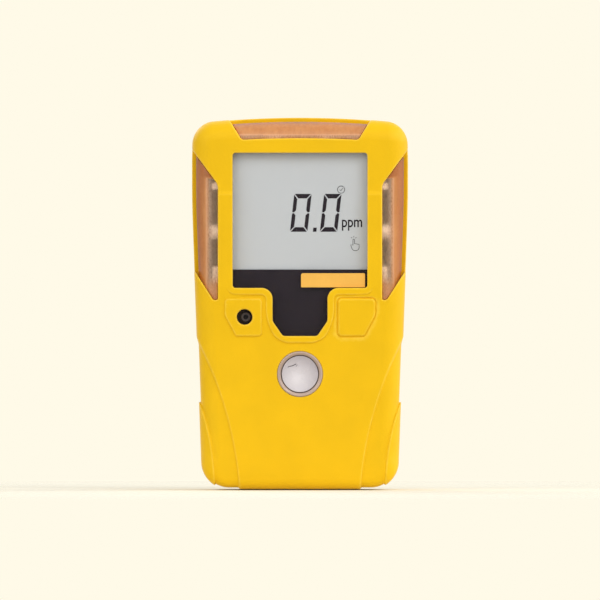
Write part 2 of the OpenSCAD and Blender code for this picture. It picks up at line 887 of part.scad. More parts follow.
front_cover();
rear_cover();
cover_gasket();
cover_screws();
threaded_inserts();
alarm_lens_left();
alarm_lens_right();
alarm_lens_top();
display_window();
window_mask();
gas_label();
lcd_panel();
lcd_frame();
elastomer_connector();
circuit_board();
board_screws();
processor_chip();
alarm_leds();
infrared_diodes();
sounder();
sounder_seal();
vibration_motor();
motor_weight();
battery();
battery_tabs();
battery_pad();
gas_sensor();
sensor_pins();
sensor_sockets();
sensor_board();
board_header();
sensor_seal();
gas_filter();
filter_ring();
filter_gasket();
button_cap();
switch_body();
switch_plunger();
rating_label();
clip_bracket();
clip_screws();
clip_pin();
clip_lever();
clip_spring();
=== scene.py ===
"""Looks of a clip-on gas detector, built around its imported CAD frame.

Lengths are in millimetres, and +Z is up, -Y is the display side and +Y the clip side.
Each moulded piece is a distance field: a function that is negative inside the piece, positive outside
it, and about as large as the distance to its surface. A mesh is drawn where the function is zero.
"""

import json
import math

import bmesh
import bpy
import numpy as np
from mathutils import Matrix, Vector

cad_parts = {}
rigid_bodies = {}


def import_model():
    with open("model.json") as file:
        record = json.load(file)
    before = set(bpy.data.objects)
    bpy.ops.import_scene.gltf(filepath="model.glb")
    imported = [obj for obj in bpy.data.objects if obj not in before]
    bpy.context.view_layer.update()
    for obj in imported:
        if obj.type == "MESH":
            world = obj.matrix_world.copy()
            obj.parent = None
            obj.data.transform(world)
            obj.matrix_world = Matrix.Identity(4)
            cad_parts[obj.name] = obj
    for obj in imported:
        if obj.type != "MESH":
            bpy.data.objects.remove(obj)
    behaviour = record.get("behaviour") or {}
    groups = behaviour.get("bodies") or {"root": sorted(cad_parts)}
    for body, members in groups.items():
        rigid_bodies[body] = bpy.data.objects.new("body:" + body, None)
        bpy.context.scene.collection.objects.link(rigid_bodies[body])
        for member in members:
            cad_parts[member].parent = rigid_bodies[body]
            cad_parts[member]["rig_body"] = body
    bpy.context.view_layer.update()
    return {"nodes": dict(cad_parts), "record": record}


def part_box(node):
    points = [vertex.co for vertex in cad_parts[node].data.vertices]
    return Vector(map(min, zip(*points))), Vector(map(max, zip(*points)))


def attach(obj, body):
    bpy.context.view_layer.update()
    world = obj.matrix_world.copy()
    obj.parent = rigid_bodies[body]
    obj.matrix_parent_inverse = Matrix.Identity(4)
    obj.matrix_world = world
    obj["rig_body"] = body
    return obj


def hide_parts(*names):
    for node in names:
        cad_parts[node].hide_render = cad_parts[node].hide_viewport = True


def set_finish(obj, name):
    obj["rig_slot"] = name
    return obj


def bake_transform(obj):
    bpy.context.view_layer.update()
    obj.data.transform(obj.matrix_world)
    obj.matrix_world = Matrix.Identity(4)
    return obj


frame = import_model()
MM = 0.001  # metres in a millimetre


# ---- Sizes ----


def box_mm(node):
    """Lowest and highest corner of a CAD node, in millimetres."""
    low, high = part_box(node)
    return np.array(low) / MM, np.array(high) / MM


def centre_mm(node):
    """Middle of a CAD node in the front view, in millimetres."""
    low, high = box_mm(node)
    return ((low + high) / 2)[[0, 2]]


# Housing
HALF_W, BACK_Y, BODY_H = box_mm("rear_cover")[1]
FRONT_Y = -BACK_Y
PARTING_Y = box_mm("front_cover")[1][1]  # the rear cover starts here
RELIEF = FRONT_Y - box_mm("front_cover")[0][1]  # the raised rims stand this far proud
WALL = 2.0
FOOT_HALF_W = 23.95
WIDEST_Z = 70.0
CROWN_H = 1.0
CROWN_X = 21.5  # the crown has fallen by CROWN_H at this distance from the middle
SHOULDER_R = 5.0
FOOT_R = 6.6
SIDE_EDGE_R = 5.0
FOOT_EDGE_R = 2.2
BACK_EDGE_R = 3.4
EDGE_R = 0.3  # rounding of most cut edges
SEAM_R = 0.25
PLAY = 0.05  # free space on each side of a piece in its seat
LABEL_GAP = 0.15  # free space round a label

# Grip channels: a depth, and for each arc its nearest point to the middle, x and z, and its radius
CHANNEL_DEPTH = 0.45
CHANNEL_INNER = (14.6, -7, 95.4)
CHANNEL_OUTER = (20.75, 0, 62.0)

# Screws that hold the covers together
COVER_SCREWS = [(side * x, z) for x, z in ((20.6, 84.2), (18.0, 6.8)) for side in (-1, 1)]
POST_R = 2.5
SCREW_HEAD_R = 2.1
SCREW_HEAD_DEPTH = 2.4
SCREW_R = 1.1

# Display
WINDOW_LOW, WINDOW_HIGH = box_mm("display_window")
WINDOW_LIP = 0.85  # the window reaches this far behind the cover, past the opening
OPENING_X = WINDOW_HIGH[0] - WINDOW_LIP
OPENING_Z0 = box_mm("gas_label")[0][2] - LABEL_GAP
OPENING_Z1 = WINDOW_HIGH[2] - WINDOW_LIP
TAB_Z = WINDOW_LOW[2] + WINDOW_LIP
TAB_HALF_W = 6.7
TAB_FOOT_HALF_W = 4.2
TAB_SLANT_H = 3.6
TAB_FILLET_R = 2.7
RIM_W = 1.7
RIM_TOP_Z = 73.1  # the raised rim round the display ends at this height
COLUMN_X = 20.6  # it widens to this distance from the middle beside the display
LCD_FACE = box_mm("lcd_panel")[0][1]
INK_T = 0.03

# Alarm lenses and their windows
SIDE_WINDOW_X = 20.1
SIDE_WINDOW_UPPER = ((SIDE_WINDOW_X, 74.5), (HALF_W - 0.1, 83.07))  # start and end of a slanted edge
SIDE_WINDOW_LOWER = ((HALF_W - 0.1, 54.4), (SIDE_WINDOW_X, 44.65))
SIDE_WINDOW_TIP_Z = 46.3
TOP_SILL_Z = 85.85
TOP_SILL_HALF_W = 14.6
TOP_SILL_ARCH = 0.4
TOP_WINDOW_END = ((TOP_SILL_HALF_W + 4.3, 93), (TOP_SILL_HALF_W, 86))
LENS_INSET = 1.1
LENS_T = 0.9
LENS_GAP = 0.06
LENS_LIP = 0.6  # the lens reaches this far behind the cover, past its window
LENS_LIP_T = 0.75
RIB_T = 0.4
RIB_BACK_Y = -7.2
UPRIGHT_RIB_X = 23.1
UPRIGHT_RIB_Z = 62.6
UPRIGHT_RIB_H = 27.2
UPPER_RIB_X = 23
UPPER_RIB_Z = 76.1
UPPER_RIB_W = 2
UPPER_RIB_SLOPE = 0.22

# Gas port
RING_LOW, RING_HIGH = box_mm("filter_ring")
PORT_X, PORT_Z = centre_mm("filter_ring")
PORT_R = (RING_HIGH[0] - RING_LOW[0]) / 2 + PLAY
PORT_DEPTH = 1
PORT_EDGE_R = 0.15
PORT_BORE_R = 3.8
DISC_LOW, DISC_HIGH = box_mm("gas_filter")
DISC_R = (DISC_HIGH[0] - DISC_LOW[0]) / 2

# Sounder port and push button, on pads that mirror each other
SOUND_X, SOUND_Z = centre_mm("sounder")
SOUND_HOLE_R = 1.9
BUTTON_LOW, BUTTON_HIGH = box_mm("button_cap")
FLANGE_W = 0.9  # the button's flange is this much wider than its pad
PAD_LOW, PAD_HIGH = BUTTON_LOW + FLANGE_W, BUTTON_HIGH - FLANGE_W
PAD_SLANT_W = 2.75
PAD_SLANT_H = 5.1
PAD_EDGE_R = 0.45
FLANGE_DEPTH = 0.45  # the flange lies this far behind the front face
BUTTON_GAP = 0.2  # between the button's pad and the cover
COLLAR_W = 0.3  # a collar round the pad closes the gap
COLLAR_DEPTH = 0.2
GROOVE_R = 0.3  # rounding of the groove that the collar leaves
STEM_X, STEM_Z = centre_mm("switch_plunger")
STEM_R = 1.5

# Rating label and the recess that it lies in
LABEL_LOW, LABEL_HIGH = box_mm("rating_label")
LABEL_DEPTH = 0.3


# ---- Distance field building blocks ----


def round_and(a, b, r):
    """The overlap of two fields, with its outer edges rounded to radius r."""
    return np.minimum(np.maximum(a, b), -r) + np.hypot(np.maximum(a + r, 0), np.maximum(b + r, 0))


def round_or(a, b, r):
    """The union of two fields, with its inner corners filleted to radius r."""
    return -round_and(-a, -b, r)


def line_field(x, z, start, end):
    """Distance to a line in the front view, positive on its left when walking from start to end."""
    dx, dz = end[0] - start[0], end[1] - start[1]
    return ((z - start[1]) * dx - (x - start[0]) * dz) / math.hypot(dx, dz)


def ease(t):
    """Runs smoothly from 0 to 1 as t does."""
    t = np.clip(t, 0, 1)
    return t * t * (3 - 2 * t)


def plateau(d, width):
    """1 inside a field and 0 outside it, with a smooth slope of this width across its edge."""
    return ease(0.5 - d / width)


def rounded_box(x, z, low, high, r):
    """A rectangle in the front view with rounded corners."""
    across = np.abs(x - (low[0] + high[0]) / 2) - (high[0] - low[0]) / 2
    up = np.abs(z - (low[1] + high[1]) / 2) - (high[1] - low[1]) / 2
    return round_and(across, up, r)


# ---- Outlines in the front view ----


def display_outline(x, z):
    """The display opening and the funnel-shaped tab below it."""
    screen = rounded_box(x, z, (-OPENING_X, OPENING_Z0), (OPENING_X, OPENING_Z1), r=0.7)
    side = np.abs(x) - TAB_HALF_W
    slant = line_field(np.abs(x), z, (TAB_HALF_W - 0.05, TAB_Z + TAB_SLANT_H), (TAB_FOOT_HALF_W, TAB_Z))
    tab = round_and(round_and(side, slant, r=0.2), TAB_Z - z, r=0.4)
    tab = np.maximum(tab, z - OPENING_Z0 - 5)
    return round_or(screen, tab, r=TAB_FILLET_R)


def side_window(x, z):
    """The opening at one edge, which both sides share."""
    x = np.abs(x)
    upper = line_field(x, z, *SIDE_WINDOW_UPPER)
    lower = line_field(x, z, *SIDE_WINDOW_LOWER)
    window = round_and(round_and(SIDE_WINDOW_X - x, upper, r=0.5), lower, r=0.3)
    return round_and(window, SIDE_WINDOW_TIP_Z - z, r=0.35)


def top_window(x, z):
    """The opening at the top, with slanted ends and an arched sill."""
    sill = TOP_SILL_Z - TOP_SILL_ARCH * (x / TOP_SILL_HALF_W) ** 2 - z
    end = line_field(np.abs(x), z, *TOP_WINDOW_END)
    return round_and(sill, end, r=0.5)


def pad_outline(x, z):
    """The square pad with one slanted corner, on the button's side."""
    low, high = PAD_LOW[[0, 2]], PAD_HIGH[[0, 2]]
    pad = rounded_box(x, z, low, high, r=1.0)
    slant = line_field(x, z, (high[0], low[1] + PAD_SLANT_H), (high[0] - PAD_SLANT_W, low[1]))
    return round_and(pad, slant, r=0.35)


def arc_field(x, z, near_x, centre_z, r):
    """Distance to an arc that bulges towards the middle, positive on its outer side."""
    return r - np.hypot(np.abs(x) - near_x - r, z - centre_z)


def channel(x, z):
    """How far a point lies inside the two grip channels, from 0 to 1: each runs between two arcs."""
    inner = arc_field(x, z, *CHANNEL_INNER)
    outer = arc_field(x, z, *CHANNEL_OUTER)
    return plateau(-inner, width=0.5) * plateau(outer, width=0.5)


def relief(x, z):
    """How proud the front face stands, as a share of the rim's height."""
    rim = display_outline(x, z) - RIM_W
    column = np.maximum(np.abs(x) - COLUMN_X, OPENING_Z0 - 1.6 - z)
    slope_w = 0.6 + 5 * ease((np.abs(x) - 12) / 5)  # gentler towards the sides
    raised = np.maximum(plateau(rim, width=0.45), plateau(column, slope_w))
    raised = raised * ease((RIM_TOP_Z - z) / 1.2)
    pad = plateau(pad_outline(-x, z), width=0.35)
    return np.maximum(raised, pad)


# ---- Moulded pieces ----


def silhouette(x, z, inset=0.0):
    """The housing's outline in the front view, moved inwards by inset."""
    below_widest = 1 - z / WIDEST_Z
    taper = (below_widest + np.sqrt(below_widest**2 + 0.002)) / 2
    shoulder = 0.2 * ease((z - 80) / 7)
    half_w = HALF_W - (HALF_W - FOOT_HALF_W) * taper - shoulder
    side = np.abs(x) - half_w + inset
    top = z - BODY_H + CROWN_H * (x / CROWN_X) ** 2 + inset
    outline = round_and(side, top, SHOULDER_R - inset)
    return round_and(outline, inset - z, FOOT_R - inset)


def body(x, y, z, inset=0.0, proud=0.0):
    """The housing's outside, with its faces moved inwards by inset and its front out by proud."""
    outline = silhouette(x, z, inset)
    edge_r = FOOT_EDGE_R + (SIDE_EDGE_R - FOOT_EDGE_R) * ease(z / 9)  # grows upwards from the foot
    edge_r = np.maximum(edge_r - inset, EDGE_R)
    front = round_and(outline, FRONT_Y + inset - proud - y, edge_r)
    return round_and(front, y - BACK_Y + inset, BACK_EDGE_R - inset)


def cylinder_y(x, z, centre, r):
    """An endless cylinder along Y."""
    return np.hypot(x - centre[0], z - centre[1]) - r


def front_cover_field(x, y, z):
    """The front cover: a shell with its windows, ports and the seats of the pieces in them."""
    sunk = CHANNEL_DEPTH * channel(x, z)
    outside = body(x, y, z, sunk, RELIEF * relief(x, z))
    shell = round_and(outside, y - PARTING_Y, SEAM_R)
    shell = np.maximum(shell, -body(x, y, z, WALL))
    for opening in (side_window(x, z), top_window(x, z), display_outline(x, z)):
        shell = round_and(shell, -opening, EDGE_R)
    window_seat = np.maximum(display_outline(x, z) - WINDOW_LIP - PLAY, WINDOW_LOW[1] - PLAY - y)
    shell = np.maximum(shell, -window_seat)
    port = np.maximum(cylinder_y(x, z, (PORT_X, PORT_Z), PORT_R), y - FRONT_Y - PORT_DEPTH)
    shell = round_and(shell, -port, PORT_EDGE_R)
    shell = np.maximum(shell, -cylinder_y(x, z, (PORT_X, PORT_Z), PORT_BORE_R))
    shell = round_and(shell, -cylinder_y(x, z, (SOUND_X, SOUND_Z), SOUND_HOLE_R), r=0.4)
    pad = pad_outline(x, z)
    shell = round_and(shell, BUTTON_GAP - pad, GROOVE_R)
    flange_seat = np.maximum(pad - FLANGE_W - 2 * PLAY, FRONT_Y + FLANGE_DEPTH - PLAY - y)
    return np.maximum(shell, -flange_seat)


def rear_cover_field(x, y, z):
    """The rear cover: a shell with screw posts and a recess for the rating label."""
    sunk = CHANNEL_DEPTH * channel(x, z)
    shell = round_and(body(x, y, z, sunk), PARTING_Y + PLAY - y, SEAM_R)
    shell = np.maximum(shell, -body(x, y, z, WALL))
    label = rounded_box(x, z, LABEL_LOW[[0, 2]] - LABEL_GAP, LABEL_HIGH[[0, 2]] + LABEL_GAP, r=1.6)
    label_seat = np.maximum(label, BACK_Y - LABEL_DEPTH - y)
    shell = round_and(shell, -label_seat, r=0.12)
    for centre in COVER_SCREWS:
        post = np.maximum(cylinder_y(x, z, centre, POST_R), body(x, y, z, WALL / 2))
        post = np.maximum(post, PARTING_Y + PLAY - y)
        shell = np.minimum(shell, post)
        bore = np.maximum(cylinder_y(x, z, centre, SCREW_HEAD_R), BACK_Y - SCREW_HEAD_DEPTH - y)
        shell = round_and(shell, -bore, EDGE_R)
        shell = np.maximum(shell, -cylinder_y(x, z, centre, SCREW_R))
    return shell


def lens_field(window):
    """The field of an alarm lens that fills this window of the front cover."""

    def field(x, y, z):
        opening = np.maximum(window(x, z) + LENS_GAP, y - PARTING_Y + PLAY)
        skin = np.maximum(body(x, y, z, LENS_INSET), -body(x, y, z, LENS_INSET + LENS_T))
        skin = round_and(skin, opening, r=0.15)
        lip = np.maximum(body(x, y, z, WALL + PLAY), -body(x, y, z, WALL + PLAY + LENS_LIP_T))
        lip = np.maximum(lip, np.maximum(window(x, z) - LENS_LIP, y - PARTING_Y + 1.2))
        return np.minimum(skin, lip)

    return field


def side_lens_field(side):
    """A side lens with its two ribs: one beside its LEDs, one across its top. Side is 1 on the right."""
    lens = lens_field(lambda x, z: side_window(np.maximum(side * x, 0), z))

    def field(x, y, z):
        across = side * x
        depth = np.maximum(y - RIB_BACK_Y, body(x, y, z, LENS_INSET + LENS_T / 2))
        upright = np.abs(across - UPRIGHT_RIB_X) - RIB_T / 2
        upright = np.maximum(upright, np.abs(z - UPRIGHT_RIB_Z) - UPRIGHT_RIB_H / 2)
        upper = np.abs(above_rib(across, z)) - RIB_T / 2
        upper = np.maximum(upper, np.abs(across - UPPER_RIB_X) - UPPER_RIB_W / 2)
        ribs = np.maximum(np.minimum(upright, upper), depth)
        return round_or(lens(x, y, z), ribs, r=0.15)

    return field


def above_rib(x, z):
    """Height above the rib across the top of a side lens, which falls towards the middle."""
    return z - UPPER_RIB_Z - UPPER_RIB_SLOPE * (np.abs(x) - UPPER_RIB_X)


def clearness(x, y, z):
    """How clear a lens is: 0 at the housing's edge, 0.5 where it starts to clear, 1 see-through.

    It is 0 above a side lens's upper rib, and falls to -1 on the walls that face sideways and upwards.
    """
    x = np.abs(x)
    towards_middle = ease((HALF_W - 1.5 - x) / 4.2)
    above_tip = 0.58 + 0.42 * ease((z - SIDE_WINDOW_TIP_Z - 2.2) / 7)
    below_rib = 1 - ease(above_rib(x, z) / 0.6)
    side_front = np.minimum(towards_middle, above_tip) * below_rib
    top_front = 0.35 + 0.35 * ease(TOP_SILL_Z + 1.35 - z)
    side_wall = ease((x - HALF_W + 2.5) / 0.8)
    top_wall = ease((z - BODY_H + 3) / 0.8)
    on_side = x > SIDE_WINDOW_X - LENS_LIP
    front = np.where(on_side, side_front, top_front)
    wall = np.where(on_side, side_wall, top_wall) * ease((y - FRONT_Y - 2.5) / 2.5)
    return front * (1 - wall) - wall


def button_field(x, y, z):
    """The button: its face, a collar that closes the gap round it, a flange and a stem."""
    pad = pad_outline(x, z)
    face = round_and(pad, BUTTON_LOW[1] - y, PAD_EDGE_R)
    face = round_or(face, np.maximum(pad - COLLAR_W, FRONT_Y + COLLAR_DEPTH - y), GROOVE_R)
    flange = np.minimum(face, np.maximum(pad - FLANGE_W, FRONT_Y + FLANGE_DEPTH - y))
    flange = np.maximum(flange, y - FRONT_Y - WALL)
    stem = np.maximum(cylinder_y(x, z, (STEM_X, STEM_Z), STEM_R), y - BUTTON_HIGH[1])
    stem = np.maximum(stem, FRONT_Y + WALL - 0.5 - y)
    return np.minimum(flange, stem)


def from_port(x, z):
    """Distance to the middle of the gas port, in the front view."""
    return np.hypot(x - PORT_X, z - PORT_Z)


def ring_field(x, y, z):
    """The filter's ring: a narrow flat rim and a face that slopes down towards the filter."""
    d = from_port(x, z)
    rim_w = 0.4
    slope = 0.87
    face = RING_LOW[1] - y + slope * np.maximum(PORT_R - rim_w - d, 0)
    band = round_and(d - PORT_R + 0.02, face, r=0.12)
    band = round_and(band, DISC_R + 0.2 - d, r=0.1)
    return np.maximum(band, y - RING_HIGH[1])


def film_y(x, z):
    """Where the filter's face lies: a thin film, dished, with a few shallow wrinkles."""
    d = from_port(x, z)
    angle = np.arctan2(z - PORT_Z, x - PORT_X)
    dish = 0.4 - 0.37 * (d / DISC_R) ** 2.5
    wrinkles = 0.02 * np.sin(5 * angle + 1.3 * d) * ease(d / DISC_R)
    wrinkles = wrinkles + 0.025 * np.cos(2 * angle + 0.8 * d)
    return DISC_LOW[1] + dish + wrinkles * ease((DISC_R - d) / 1.5)


def filter_field(x, y, z):
    """The gas filter: a disc with the film's uneven face."""
    film = round_and(film_y(x, z) - y, from_port(x, z) - DISC_R, r=0.12)
    return np.maximum(film, y - DISC_HIGH[1])


# ---- Objects for meshes ----


SLOTS = {part["node"]: part["material_slot"] for part in frame["record"]["subparts"]}


def add_object(name, data):
    """A new object in the scene, for a mesh, a text, a light or a camera."""
    item = bpy.data.objects.new(name, data)
    bpy.context.scene.collection.objects.link(item)
    return item


def add_piece(name, mesh, body_name, slot):
    """A piece of the object that rides on a body and has a material slot."""
    piece = add_object(name, mesh)
    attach(piece, body_name)
    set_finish(piece, slot)
    return piece


def in_place_of(name, mesh, node):
    """A piece that stands for a CAD node: it takes the node's body and material slot."""
    piece = add_piece(name, mesh, frame["nodes"][node]["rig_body"], SLOTS[node])
    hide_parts(node)
    return piece


def printed(name, bm):
    """A piece from a bmesh of flat prisms, in black ink."""
    mesh = bpy.data.meshes.new(name)
    bmesh.ops.recalc_face_normals(bm, faces=bm.faces)
    bm.to_mesh(mesh)
    bm.free()
    return add_piece(name, mesh, "housing", "black_ink")


# ---- Meshes from fields ----


CORNERS = [(i, j, k) for i in (0, 1) for j in (0, 1) for k in (0, 1)]  # of a grid cell


def grid_axis(low, high, step):
    """Grid lines at even steps, to just past both ends."""
    return np.arange(low - 1.5 * step, high + 2.5 * step, step)


def crossings(values, cells):
    """Average place, within each grid cell, where the cell's edges cross the surface."""
    total = np.zeros((len(cells), 3))
    found = np.zeros(len(cells))
    for a in CORNERS:
        for axis in range(3):
            if a[axis]:
                continue
            b = tuple(1 if n == axis else a[n] for n in range(3))
            va = values[tuple((cells + a).T)]
            vb = values[tuple((cells + b).T)]
            cut = (va < 0) != (vb < 0)
            share = np.where(cut, va / np.where(cut, va - vb, 1), 0)
            point = np.array(a) + share[:, None] * (np.array(b) - np.array(a))
            total += np.where(cut[:, None], point, 0)
            found += cut
    return total / found[:, None]


def quads_round(axis, inside, index):
    """A quad round each grid edge along this axis that crosses the surface, from its four cells."""
    u, v = [n for n in range(3) if n != axis]
    near = np.moveaxis(inside, axis, 0)[:-1]
    far = np.moveaxis(inside, axis, 0)[1:]
    cut = np.argwhere(near != far)
    cut = cut[(cut[:, 1] > 0) & (cut[:, 2] > 0)]
    cut = cut[(cut[:, 1] < near.shape[1] - 1) & (cut[:, 2] < near.shape[2] - 1)]
    leaving = near[tuple(cut.T)]
    quads = []
    for du, dv in ((1, 1), (0, 1), (0, 0), (1, 0)):
        cell = np.zeros((len(cut), 3), int)
        cell[:, axis] = cut[:, 0]
        cell[:, u] = cut[:, 1] - du
        cell[:, v] = cut[:, 2] - dv
        quads.append(index[tuple(cell.T)])
    quads = np.array(quads).T
    inwards = leaving if axis == 1 else ~leaving
    quads[inwards] = quads[inwards][:, ::-1]
    return quads


def surface_net(field, low, high, step):
    """Vertices and quads of a field's zero surface: one vertex in each grid cell that it crosses."""
    axes = [grid_axis(low[i], high[i], step) for i in range(3)]
    x, y, z = np.meshgrid(*axes, indexing="ij", sparse=True)
    values = np.broadcast_to(field(x, y, z), [len(a) for a in axes]).astype(np.float32)
    inside = values < 0
    size = [n - 1 for n in values.shape]
    corners_inside = np.zeros(size, np.int8)
    for i, j, k in CORNERS:
        corners_inside += inside[i : i + size[0], j : j + size[1], k : k + size[2]]
    crossed = (corners_inside > 0) & (corners_inside < len(CORNERS))
    cells = np.argwhere(crossed)
    index = np.full(size, -1, np.int64)
    index[crossed] = np.arange(len(cells))
    origin = np.array([a[0] for a in axes])
    vertices = origin + step * (cells + crossings(values, cells))
    faces = [quads_round(axis, inside, index) for axis in range(3)]
    return vertices, np.concatenate(faces)


def gradient(field, points, reach):
    """Direction and slope in which the field grows, at each point."""
    slope = []
    for axis in range(3):
        shift = np.zeros(3)
        shift[axis] = reach
        ahead = field(*(points + shift).T)
        behind = field(*(points - shift).T)
        slope.append((ahead - behind) / (2 * reach))
    return np.array(slope).T


def convexity(field, points, reach):
    """How sharply the surface bends outwards at each point, in 1/mm; hollows are negative."""
    bend = -6 * field(*points.T)
    for axis in range(3):
        shift = np.zeros(3)
        shift[axis] = reach
        bend = bend + field(*(points + shift).T) + field(*(points - shift).T)
    return bend / reach**2


def settle(field, points, step):
    """Moves points onto the field's zero surface, by less than one grid step each time."""
    for _ in range(3):
        slope = gradient(field, points, reach=0.01)
        size = np.maximum((slope**2).sum(1), 0.1)
        move = -slope * (field(*points.T) / size)[:, None]
        length = np.linalg.norm(move, axis=1)
        move *= np.minimum(1, 0.4 * step / np.maximum(length, 1e-9))[:, None]
        points = points + move
    return points


def thin_out(mesh, share):
    """The mesh with this share of its faces, most of them kept where it curves."""
    piece = add_object("thinning", mesh)
    modifier = piece.modifiers.new("thin", "DECIMATE")
    modifier.ratio = share
    modifier.use_collapse_triangulate = True
    bpy.context.view_layer.update()
    shown = piece.evaluated_get(bpy.context.evaluated_depsgraph_get())
    thinned = bpy.data.meshes.new_from_object(shown)
    bpy.data.objects.remove(piece)
    bpy.data.meshes.remove(mesh)
    return thinned


def coordinates(mesh):
    """Places of a mesh's vertices, one row each."""
    values = np.zeros(len(mesh.vertices) * 3)
    mesh.vertices.foreach_get("co", values)
    return values.reshape(-1, 3)


def mark(mesh, name, values):
    """Stores one number at each point, for a material to read."""
    attribute = mesh.attributes.new(name, "FLOAT", "POINT")
    attribute.data.foreach_set("value", values.astype(np.float32))


def moulded(name, field, node, step, share=1.0):
    """A piece from its field, in place of a CAD node, on a grid of this step; share thins its faces."""
    step = step * 1
    low, high = box_mm(node)
    vertices, faces = surface_net(field, low, high, step)
    vertices = settle(field, vertices, step)
    mesh = bpy.data.meshes.new(name)
    mesh.from_pydata(vertices * MM, [], faces)
    if share < 1:
        mesh = thin_out(mesh, share)
    points = settle(field, coordinates(mesh) / MM, step)
    mesh.vertices.foreach_set("co", (points * MM).ravel())
    mesh.shade_smooth()
    normals = gradient(field, points, reach=0.04)
    normals /= np.maximum(np.linalg.norm(normals, axis=1), 1e-6)[:, None]
    mesh.normals_split_custom_set_from_vertices(normals)
    mark(mesh, "convexity", convexity(field, points, reach=0.3))
    mark(mesh, "clearness", clearness(*points.T))
    mesh.name = name
    return in_place_of(name, mesh, node)


# ---- Printed marks ----


def prism(bm, outline, y0, y1):
    """A flat shape from the front view, as a thin closed solid."""
    ends = [[bm.verts.new((x * MM, y * MM, z * MM)) for x, z in outline] for y in (y0, y1)]
    bm.faces.new(ends[0])
    bm.faces.new(ends[1][::-1])
    for i, a in enumerate(ends[0]):
        j = (i + 1) % len(outline)
        bm.faces.new((ends[1][i], ends[1][j], ends[0][j], a))


def digit_zero(x0, z0, width, height, bar, lean):
    """The six lit bars of a seven-bar zero, leaning to the right."""
    gap = 0.09
    w, h, t = width, height, bar
    side = [
        (0, h / 2 + 0.8 * gap + 0.12),
        (0, h - 2 * gap),
        (t * 0.8, h - t - 2 * gap),
        (t * 0.8, h / 2 + 0.8 * gap + 0.55),
        (t * 0.4, h / 2 + 0.8 * gap),
    ]
    top = [(1.6 * gap, h), (w - 1.6 * gap, h), (w - t, h - t), (t, h - t)]
    upper = [side, [(w - x, z) for x, z in side], top]
    bars = upper + [[(x, h - z) for x, z in shape] for shape in upper]
    return [[(x0 + x + lean * z, z0 + z) for x, z in shape] for shape in bars]


def stroke(points, width):
    """Outline of a line of even width through these points."""
    points = np.array(points, float)
    along = np.gradient(points, axis=0)
    across = np.stack([-along[:, 1], along[:, 0]], 1)
    across /= np.linalg.norm(across, axis=1)[:, None]
    left = points + across * width / 2
    right = points - across * width / 2
    return [tuple(p) for p in np.concatenate([left, right[::-1]])]


def arc(centre, r, start, end, steps=24):
    """Points along an arc between two angles in degrees."""
    angles = np.radians(np.linspace(start, end, steps + 1))
    return [(centre[0] + r * math.cos(a), centre[1] + r * math.sin(a)) for a in angles]


def ink(bm, outline):
    """Prints a flat shape on the face of the LCD panel."""
    prism(bm, outline, LCD_FACE - INK_T, LCD_FACE)


def lcd_digits():
    """Two zeros with a decimal point between them."""
    bm = bmesh.new()
    foot_z = 63.0
    for x0 in (-2.45, 4.85):
        for bar in digit_zero(x0, foot_z, width=4.25, height=9.25, bar=1.1, lean=0.114):
            ink(bm, bar)
    ink(bm, [(x, foot_z + z) for x, z in ((3.15, 0), (4.0, 0), (4.1, 1), (3.25, 1))])
    return printed("lcd_digits", bm)


def lcd_unit():
    """The unit beside the digits, fitted to its place on the panel."""
    letters = bpy.data.curves.new("lcd_unit", "FONT")
    letters.body = "ppm"
    letters.extrude = 0.01
    letters.offset = 0.012  # makes the strokes bolder
    text = add_object("letters", letters)
    bpy.context.view_layer.update()
    mesh = bpy.data.meshes.new_from_object(text.evaluated_get(bpy.context.evaluated_depsgraph_get()))
    bpy.data.objects.remove(text)
    points = coordinates(mesh)
    share = (points - points.min(0)) / np.ptp(points, axis=0)
    low = np.array((10.25, LCD_FACE - INK_T, 63.25))
    high = np.array((15.2, LCD_FACE, 65.95))
    placed = low + share[:, [0, 2, 1]] * (high - low)
    mesh.vertices.foreach_set("co", (placed * MM).ravel())
    mesh.flip_normals()
    return add_piece("lcd_unit", mesh, "housing", "black_ink")


def lcd_icons():
    """Two faint status signs: a ring with a tick above the digits and a tapping finger below them."""
    bm = bmesh.new()
    ring_x, ring_z = 10.05, 73.3
    hand_x, hand_z = 13.55, 59.5
    thumb = [(-0.9, -0.5), (-1.15, 0.35), (-0.6, 0.2)]
    finger_left = [(-0.6, 0.2), (-0.6, 1.5)]
    finger_right = [(-0.2, 1.5), (-0.2, 0.6)]
    knuckles = [(-0.2, 0.6), (0.9, 0.4), (0.9, -0.5)]
    marks = [
        arc((ring_x, ring_z), r=0.88, start=0, end=359.9, steps=40),
        [(ring_x - 0.35, ring_z), (ring_x - 0.08, ring_z - 0.3), (ring_x + 0.42, ring_z + 0.35)],
        arc((hand_x, hand_z - 0.2), r=0.95, start=-160, end=-20),
        arc((hand_x - 0.4, hand_z + 1.5), r=0.2, start=180, end=0, steps=10),
    ]
    for line in (thumb, finger_left, finger_right, knuckles):
        marks.append([(hand_x + x, hand_z + z) for x, z in line])
    tapped = (hand_x - 0.4, hand_z + 1.6)
    for angle in (40, 90, 140):
        marks.append([arc(tapped, r, angle, angle, 0)[0] for r in (0.5, 0.85)])
    for line in marks:
        ink(bm, stroke(line, width=0.13))
    return printed("lcd_icons", bm)


# ---- Materials ----


def srgb(red, green, blue):
    """A colour from its usual 0 to 255 values, as Blender's linear colour."""
    linear = [((c / 255 + 0.055) / 1.055) ** 2.4 if c > 10 else c / 255 / 12.92 for c in (red, green, blue)]
    return (*linear, 1.0)


